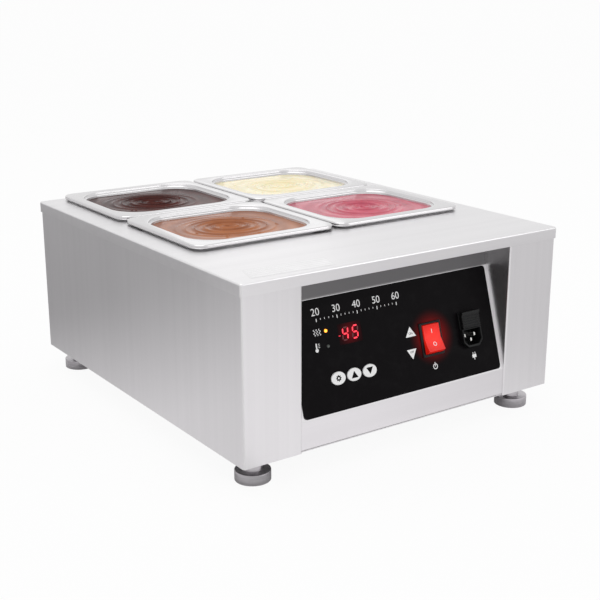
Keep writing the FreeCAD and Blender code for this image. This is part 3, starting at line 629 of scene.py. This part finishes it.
def new_group(name, inputs, outputs):
    """An empty node group with named sockets: (name, kind, default) in and (name, kind) out."""
    tree = bpy.data.node_groups.new(name, "ShaderNodeTree")
    for title, kind, value in inputs:
        socket = tree.interface.new_socket(title, in_out="INPUT", socket_type="NodeSocket" + kind)
        if value is not None:
            socket.default_value = value
    for title, kind in outputs:
        tree.interface.new_socket(title, in_out="OUTPUT", socket_type="NodeSocket" + kind)
    return tree, tree.nodes.new("NodeGroupInput"), tree.nodes.new("NodeGroupOutput")


def ramp(tree, value, low, high, start=0.0, end=1.0):
    """A value carried from one range to another, held at the ends."""
    made = node(tree, "ShaderNodeMapRange", {"Value": value, "From Min": start, "From Max": end,
                                             "To Min": low, "To Max": high})
    return made.outputs["Result"]


def maths(tree, operation, a, b=0.0, c=0.0):
    """One sum on two or three values."""
    return node(tree, "ShaderNodeMath", {0: a, 1: b, 2: c}, operation=operation).outputs[0]


def noise(tree, vector, scale, detail=3.0, rough=0.5):
    """Soft noise from 0 to 1."""
    return node(tree, "ShaderNodeTexNoise", {"Vector": vector, "Scale": scale, "Detail": detail,
                                             "Roughness": rough}).outputs[0]


def stretched(tree, vector, scale):
    """Coordinates scaled along each axis."""
    return node(tree, "ShaderNodeMapping", {"Vector": vector, "Scale": scale}).outputs[0]


def fill_brushed():
    """Long scratches, wider bands along them, and the soft marks of wiping."""
    tree, enter, leave = new_group(
        "Brushed steel", [("Vector", "Vector", None), ("Scale", "Vector", (6, 900, 900))],
        [("Grain", "Float"), ("Band", "Float"), ("Smudge", "Float")])
    place, scale = enter.outputs["Vector"], enter.outputs["Scale"]
    wide = node(tree, "ShaderNodeVectorMath", {0: scale, 1: (0.25, 0.16, 0.16)}, operation="MULTIPLY")
    wiped = noise(tree, place, 7.0, 4.0, 0.55)
    tree.links.new(noise(tree, stretched(tree, place, scale), 1.0, 4.0, 0.6), leave.inputs["Grain"])
    tree.links.new(noise(tree, stretched(tree, place, wide.outputs[0]), 1.0, 2.0), leave.inputs["Band"])
    tree.links.new(ramp(tree, wiped, 0.0, 1.0, 0.42, 0.68), leave.inputs["Smudge"])
    return tree


def fill_moulded():
    """The fine grain of a mould and a little dust in patches."""
    tree, enter, leave = new_group(
        "Moulded grain", [("Vector", "Vector", None), ("Scale", "Float", 1800.0)],
        [("Grain", "Float"), ("Dust", "Float")])
    place = enter.outputs["Vector"]
    tree.links.new(noise(tree, place, enter.outputs["Scale"], 2.0), leave.inputs["Grain"])
    tree.links.new(ramp(tree, noise(tree, place, 60.0, 5.0, 0.7), 0.0, 1.0, 0.5, 0.78), leave.inputs["Dust"])
    return tree


brushed, moulded = fill_brushed(), fill_moulded()


def new_material(name):
    """A material with an empty tree, its shader, its output and object coordinates."""
    made = bpy.data.materials.new(name)
    made.use_nodes = True
    tree = made.node_tree
    tree.nodes.clear()
    shader = node(tree, "ShaderNodeBsdfPrincipled")
    node(tree, "ShaderNodeOutputMaterial", {"Surface": shader.outputs[0]})
    place = node(tree, "ShaderNodeTexCoord").outputs["Object"]
    return made, tree, shader, place


def set_inputs(tree, shader, **values):
    """Sets or links the shader's sockets by name, with underscores for spaces."""
    for key, value in values.items():
        socket = shader.inputs[key.replace("_", " ")]
        if isinstance(value, bpy.types.NodeSocket):
            tree.links.new(value, socket)
        else:
            socket.default_value = value


def mixed(tree, share, a, b):
    """A colour between two; each is three numbers or a socket."""
    ends = [end if isinstance(end, bpy.types.NodeSocket) else (*end, 1) for end in (a, b)]
    return node(tree, "ShaderNodeMix", {0: share, 6: ends[0], 7: ends[1]}, data_type="RGBA").outputs[2]


def bumped(tree, height, distance):
    """A normal from a height of that many metres."""
    return node(tree, "ShaderNodeBump", {"Height": height, "Distance": distance, "Strength": 1.0}).outputs[0]


print("node groups", [g.name for g in bpy.data.node_groups])

# %% [markdown]
# ## Steel
# Stainless sheet is polished with long strokes in one direction, so its roughness and its shine
# vary across the strokes and hardly along them. One maker gives every steel part its own
# direction, tone and polish.

# %% Steel finishes


def steel(name, tone, roughness, scale, depth=0.000004, contrast=0.015, painted_shade=None):
    """Brushed steel, its scale small along the strokes.

    Where painted_shade is (height, width, share), the tone falls to that share above the height: painted
    shade, standing in for the shadow of the deck's overhang."""
    made, tree, shader, place = new_material(name)
    group = node(tree, "ShaderNodeGroup", {}, node_tree=brushed)
    tree.links.new(place, group.inputs["Vector"])
    group.inputs["Scale"].default_value = scale
    dark_tone = tuple(v * (1 - contrast) for v in tone)
    light_tone = tuple(min(1.0, v * (1 + contrast)) for v in tone)
    strokes = ramp(tree, group.outputs["Band"], 0.0, 1.0, 0.3, 0.7)
    rough = ramp(tree, group.outputs["Grain"], roughness - 0.015, roughness + 0.02, 0.3, 0.7)
    worn = maths(tree, "MULTIPLY_ADD", group.outputs["Smudge"], 0.025, rough)
    colour = mixed(tree, strokes, dark_tone, light_tone)
    # Painted shade: above the height the steel's tone drops to a dark grey, as the shaded recess under the
    # deck looks.
    if painted_shade:
        edge, width, share = painted_shade
        height = node(tree, "ShaderNodeSeparateXYZ", {0: place}).outputs["Z"]
        above = ramp(tree, height, 0.0, 1.0, edge, edge + width)
        colour = mixed(tree, above, colour, [v * share for v in tone])
    set_inputs(tree, shader, Base_Color=colour, Metallic=1.0,
               Roughness=worn, Normal=bumped(tree, group.outputs["Grain"], depth))
    return made


STEEL = {
    "cover_steel": steel("cover_steel", (0.82, 0.81, 0.82), 0.34, (5, 700, 700)),
    "casing_steel": steel("casing_steel", (0.80, 0.79, 0.80), 0.34, (700, 700, 5)),
    # The control plate's band above 168.5 mm is painted dark: painted shade of the recess under the deck's
    # overhang.
    "panel_steel": steel("panel_steel", (0.80, 0.785, 0.80), 0.34, (5, 700, 700),
                         painted_shade=(0.1685, 0.001, 0.22)),
    "pan_steel": steel("pan_steel", (0.71, 0.70, 0.71), 0.14, (40, 220, 220), 0.000004, 0.02),
    "foot_steel": steel("foot_steel", (0.52, 0.50, 0.52), 0.28, (60, 60, 1600), 0.00002, 0.15),
    "tank_steel": steel("tank_steel", (0.62, 0.62, 0.62), 0.35, (40, 500, 500)),
    "hidden_steel": steel("hidden_steel", (0.55, 0.56, 0.57), 0.42, (60, 300, 300)),
    "fastener_steel": steel("fastener_steel", (0.6, 0.6, 0.6), 0.3, (400, 400, 400)),
}
print("steel finishes", len(STEEL))

# %% [markdown]
# ## Plastics, prints and lamps
# The overlay is a film with a satin face; the switch and the inlet are moulded with a finer grain;
# the keys are white silicone. The rocker is clear red with a lamp behind it, so it glows more in
# its middle than at its edges.

# %% Plastic finishes


def plastic(name, tone, roughness, grain_scale=1800.0, depth=0.00001, metallic=0.0, specular=0.5):
    """A moulded or printed finish with fine grain; also plain metals, where metallic is 1."""
    made, tree, shader, place = new_material(name)
    group = node(tree, "ShaderNodeGroup", {}, node_tree=moulded)
    tree.links.new(place, group.inputs["Vector"])
    group.inputs["Scale"].default_value = grain_scale
    lighter = tuple(min(1.0, v * 1.25 + 0.006) for v in tone)
    rough = ramp(tree, group.outputs["Dust"], roughness, roughness + 0.09)
    dusty = maths(tree, "MULTIPLY", group.outputs["Dust"], 0.5)
    set_inputs(tree, shader, Base_Color=mixed(tree, dusty, tone, lighter), Roughness=rough, Metallic=metallic,
               Specular_IOR_Level=specular, Normal=bumped(tree, group.outputs["Grain"], depth))
    return made


def glow(material, colour, strength, centre=None, reach=None):
    """Adds light of its own to a finish, fading from a centre in metres if one is given."""
    tree = material.node_tree
    shader = next(n for n in tree.nodes if n.type == "BSDF_PRINCIPLED")
    shader.inputs["Emission Color"].default_value = (*colour, 1)
    if centre is None:
        shader.inputs["Emission Strength"].default_value = strength
        return material
    place = next(n for n in tree.nodes if n.type == "TEX_COORD").outputs["Object"]
    away = node(tree, "ShaderNodeVectorMath", {0: place, 1: centre}, operation="DISTANCE").outputs["Value"]
    near = ramp(tree, away, 1.0, 0.0, 0.0, reach)
    soft_edge = maths(tree, "POWER", near, 2.0)
    tree.links.new(maths(tree, "MULTIPLY", soft_edge, strength), shader.inputs["Emission Strength"])
    return material


def on_slope(s, t):
    """A point of the slope in metres, from millimetres across and up."""
    return tuple(SLOPE @ Vector((s * MM, t * MM, 0.0)))


PLASTIC = {
    "overlay_black": plastic("overlay_black", (0.0045, 0.0038, 0.0045), 0.36, 900.0, 0.000002, specular=0.04),
    "window_red": plastic("window_red", (0.012, 0.002, 0.003), 0.2, specular=0.05),
    "key_white": plastic("key_white", (0.86, 0.86, 0.86), 0.4),
    "rocker_red": plastic("rocker_red", (0.62, 0.008, 0.005), 0.25, specular=0.25),
    "housing_black": plastic("housing_black", (0.006, 0.006, 0.0065), 0.3, specular=0.22),
    "component_plastic": plastic("component_plastic", (0.05, 0.05, 0.055), 0.45),
    "board_green": plastic("board_green", (0.02, 0.11, 0.05), 0.35),
    "heater_rubber": plastic("heater_rubber", (0.35, 0.09, 0.05), 0.6),
    "insulation_wool": plastic("insulation_wool", (0.62, 0.6, 0.52), 0.95, 500.0, 0.0004),
    "contact_metal": plastic("contact_metal", (0.82, 0.81, 0.78), 0.25, metallic=1.0),
    "core_iron": plastic("core_iron", (0.2, 0.19, 0.19), 0.5, metallic=1.0),
    "cutout_aluminium": plastic("cutout_aluminium", (0.7, 0.7, 0.72), 0.35, metallic=1.0),
    "fuse_glass": plastic("fuse_glass", (0.8, 0.85, 0.85), 0.05),
    "lamp_lit": plastic("lamp_lit", (0.9, 0.25, 0.03), 0.25),
    "lamp_dark": plastic("lamp_dark", (0.10, 0.11, 0.10), 0.25),
}
glow(PLASTIC["lamp_lit"], (1.0, 0.32, 0.03), 2.5)
glow(PLASTIC["rocker_red"], (1.0, 0.022, 0.006), 0.8, on_slope(*SWITCH), 0.034)
# Painted light: a red pool round the switch is given to the black overlay as glow of its own, standing in for
# the rocker's light falling on the film.
glow(PLASTIC["overlay_black"], (1.0, 0.01, 0.008), 0.5, on_slope(43.0, 53.0), 0.032)
# Painted light: the red pane glows of its own round the figures, standing in for their light spreading in it.
glow(PLASTIC["window_red"], (1.0, 0.01, 0.03), 0.16, on_slope(*DISPLAY), 0.017)
figures_red = glow(plastic("figures_red", (0.6, 0.02, 0.03), 0.3), (1.0, 0.03, 0.06), 1.6)
# Painted light: the unlit segments are given a faint red glow of their own, though no lamp lights them.
figures_off = glow(plastic("figures_off", (0.05, 0.004, 0.006), 0.3), (0.5, 0.01, 0.02), 0.12)
film_clear = plastic("film_clear", (0.74, 0.73, 0.74), 0.3)
film_white = plastic("film_white", (0.9, 0.9, 0.9), 0.4)
print("plastic finishes", len(PLASTIC))

# %% [markdown]
# ## Chocolate
# Melted chocolate is opaque, and its cocoa butter makes a wet skin over it. The finish is a body
# colour with faint streaks that follow the stir and a smooth, tinted shine; the two pale kinds let
# a little light through. Painted shade darkens the colour towards the back of the pan, and painted
# light lifts it towards the front.

# %% Chocolate finishes
WET = 0.17


def melted(name, centre, deep, light, specular, sheen, spread=0.0):
    """A wet chocolate from a deep and a light colour, streaked in rings about its pan's middle."""
    made, tree, shader, place = new_material(name)
    local = node(tree, "ShaderNodeVectorMath", {0: place, 1: (centre[0] * MM, centre[1] * MM, 0)},
                 operation="SUBTRACT").outputs[0]
    ringed = node(tree, "ShaderNodeTexWave",
                  {"Vector": local, "Scale": 16.0, "Distortion": 3.0, "Detail": 2.0, "Detail Scale": 1.4},
                  wave_type="RINGS", rings_direction="Z")
    streaks = ramp(tree, ringed.outputs["Fac"], 0.0, 0.6)
    cloud = ramp(tree, noise(tree, local, 38.0, 3.0), 0.0, 0.4, 0.35, 0.65)
    # Painted shade and light: the colour darkens towards the back of the pan and lightens towards the front.
    back = node(tree, "ShaderNodeSeparateXYZ", {0: local}).outputs["Y"]
    lean = ramp(tree, back, 0.35, -0.5, -0.06, 0.06)
    share = maths(tree, "ADD", maths(tree, "ADD", streaks, cloud), lean)
    set_inputs(tree, shader, Base_Color=mixed(tree, share, deep, light), Roughness=WET,
               Specular_IOR_Level=specular, Specular_Tint=(*sheen, 1), IOR=1.47)
    if spread:
        reach = (spread, spread * 0.6, spread * 0.4)
        set_inputs(tree, shader, Subsurface_Weight=0.25, Subsurface_Radius=reach, Subsurface_Scale=1.0)
    return made


TONES = {
    "dark": ((0.034, 0.006, 0.005), (0.075, 0.018, 0.014), 0.05, (0.62, 0.42, 0.40)),
    "white": ((0.80, 0.70, 0.43), (0.90, 0.83, 0.62), 0.3, (1.0, 0.98, 0.9), 0.004),
    "milk": ((0.25, 0.075, 0.026), (0.40, 0.145, 0.06), 0.12, (0.95, 0.78, 0.68)),
    "pink": ((0.42, 0.06, 0.10), (0.62, 0.15, 0.20), 0.14, (1.0, 0.82, 0.86), 0.002),
}
CHOCOLATE = {kind: melted(kind + "_chocolate", PAN_CENTRES[place], *TONES[kind])
             for place, kind in FILLED.items()}
print("chocolates", list(CHOCOLATE))

# %% [markdown]
# ## Every piece gets its finish
# A part's finish follows its material slot; the prints and the pieces made here are named one by one.

# %% Finishes to pieces
CHOCOLATE_SLOTS = {kind + "_chocolate": made for kind, made in CHOCOLATE.items()}
FINISH = {**STEEL, **PLASTIC, **CHOCOLATE_SLOTS}


def wear(piece, material):
    """Gives a whole piece one material, in each of its slots."""
    if not piece.data.materials:
        piece.data.materials.append(material)
    for number in range(len(piece.data.materials)):
        piece.data.materials[number] = material


for name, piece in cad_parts.items():
    first = piece.data.materials[0].name if piece.data.materials else ""
    key = next((slot_name for slot_name in FINISH if first.startswith(slot_name)), "hidden_steel")
    wear(piece, FINISH[key])
for piece in [*soft.values(), *pans.values(), *feet.values(), panel_signs, switch_words, rocker_signs,
              *key_signs.values()]:
    wear(piece, FINISH[piece["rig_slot"]])
for kind, piece in pools.items():
    wear(piece, CHOCOLATE[kind])
wear(display_figures, figures_red)
wear(display_unlit, figures_off)
wear(film_label, film_clear)
wear(film_lines, film_white)

# %% [markdown]
# ## Floor, light and camera
# A pale floor under a white surround. Soft lamps stand above, in front on the right and behind.
# Two toned cards just above the floor, which only reflections see, keep the side wall of the
# casing darker than its front and let the front fade to the right.

# %% Stage
FLOOR_GLOW = 0.93
CARD_LEVEL = 0.002
floor_mesh = bpy.data.meshes.new("floor")
floor_mesh.from_pydata([(-40, -40, 0), (40, -40, 0), (40, 40, 0), (-40, 40, 0)], [], [(0, 1, 2, 3)])
floor = bpy.data.objects.new("floor", floor_mesh)
bpy.context.scene.collection.objects.link(floor)
floor_paint = bpy.data.materials.new("floor_paint")
floor_paint.use_nodes = True
tree = floor_paint.node_tree
tree.nodes.clear()
matt = node(tree, "ShaderNodeBsdfDiffuse", {"Color": (0.8, 0.8, 0.8, 1)})
white = node(tree, "ShaderNodeEmission", {"Color": (1, 1, 1, 1), "Strength": 1.0})
path = node(tree, "ShaderNodeLightPath")
seen = maths(tree, "MULTIPLY", path.outputs["Is Camera Ray"], FLOOR_GLOW)
blend_node = node(tree, "ShaderNodeMixShader", {0: seen, 1: matt.outputs[0], 2: white.outputs[0]})
node(tree, "ShaderNodeOutputMaterial", {"Surface": blend_node.outputs[0]})
floor_mesh.materials.append(floor_paint)


def card(name, corners, axis, start, end):
    """A flat card that only reflections see. Its tone runs along an axis: start and end are (place, tone)."""
    mesh = bpy.data.meshes.new(name)
    mesh.from_pydata([(x, y, CARD_LEVEL) for x, y in corners], [], [(0, 1, 2, 3)])
    made = bpy.data.objects.new(name, mesh)
    bpy.context.scene.collection.objects.link(made)
    paint = bpy.data.materials.new(name)
    paint.use_nodes = True
    paint.node_tree.nodes.clear()
    where = node(paint.node_tree, "ShaderNodeTexCoord").outputs["Object"]
    along = node(paint.node_tree, "ShaderNodeSeparateXYZ", {0: where}).outputs[axis]
    tone = ramp(paint.node_tree, along, start[1], end[1], start[0], end[0])
    light = node(paint.node_tree, "ShaderNodeEmission", {"Color": (1, 0.985, 1, 1), "Strength": tone})
    node(paint.node_tree, "ShaderNodeOutputMaterial", {"Surface": light.outputs[0]})
    mesh.materials.append(paint)
    made.visible_camera = False
    made.visible_shadow = False
    made.visible_diffuse = False
    return made


card("left_card", [(-2.2, -0.6), (-0.206, -0.24), (-0.206, 2.4), (-2.2, 2.4)],
     "Y", (-0.02, 0.74), (0.42, 0.34))
card("front_card", [(-0.4, -1.8), (2.2, -1.8), (2.2, -0.24), (-0.16, -0.24)],
     "X", (0.0, 0.93), (0.4, 0.64))

world = bpy.data.worlds.new("surround")
bpy.context.scene.world = world
world.use_nodes = True
tree = world.node_tree
tree.nodes.clear()
path = node(tree, "ShaderNodeLightPath")
clear = maths(tree, "MAXIMUM", path.outputs["Is Camera Ray"], path.outputs["Is Glossy Ray"])
dim = maths(tree, "MULTIPLY", path.outputs["Is Glossy Ray"], 0.1)
strength = maths(tree, "SUBTRACT", ramp(tree, clear, 0.85, 1.0), dim)
sky = node(tree, "ShaderNodeBackground", {"Color": (1, 1, 1, 1), "Strength": strength})
node(tree, "ShaderNodeOutputWorld", {"Surface": sky.outputs[0]})


def softbox(name, where, aim, size, power, colour=(1, 1, 1)):
    """A large soft lamp that looks from one place at another, in metres and watts."""
    lamp = bpy.data.lights.new(name, "AREA")
    lamp.shape = "RECTANGLE"
    lamp.size, lamp.size_y = size
    lamp.energy = power
    lamp.color = colour
    made = bpy.data.objects.new(name, lamp)
    bpy.context.scene.collection.objects.link(made)
    way = Vector(where) - Vector(aim)
    made.matrix_world = Matrix.Translation(where) @ way.to_track_quat("Z", "Y").to_matrix().to_4x4()
    return made


softbox("overhead", (-0.2, 0.2, 1.7), (0, 0.05, 0.2), (1.5, 1.0), 6.0)
softbox("behind", (0.95, 1.55, 0.8), (0, 0.05, 0.2), (0.5, 0.5), 0.22)
softbox("front", (1.3, -1.6, 1.2), (0, -0.1, 0.1), (1.2, 1.2), 5.0)

camera_data = bpy.data.cameras.new("camera")
camera_data.lens = 67.53
camera_data.sensor_width = 36.0
camera_data.clip_end = 100.0
camera = bpy.data.objects.new("camera", camera_data)
camera.location = (-0.71892, -1.05644, 0.48126)
camera.rotation_euler = (math.radians(73.57), 0.0, math.radians(-35.02))
bpy.context.scene.collection.objects.link(camera)
bpy.context.scene.camera = camera
bpy.context.scene.view_settings.view_transform = "Standard"
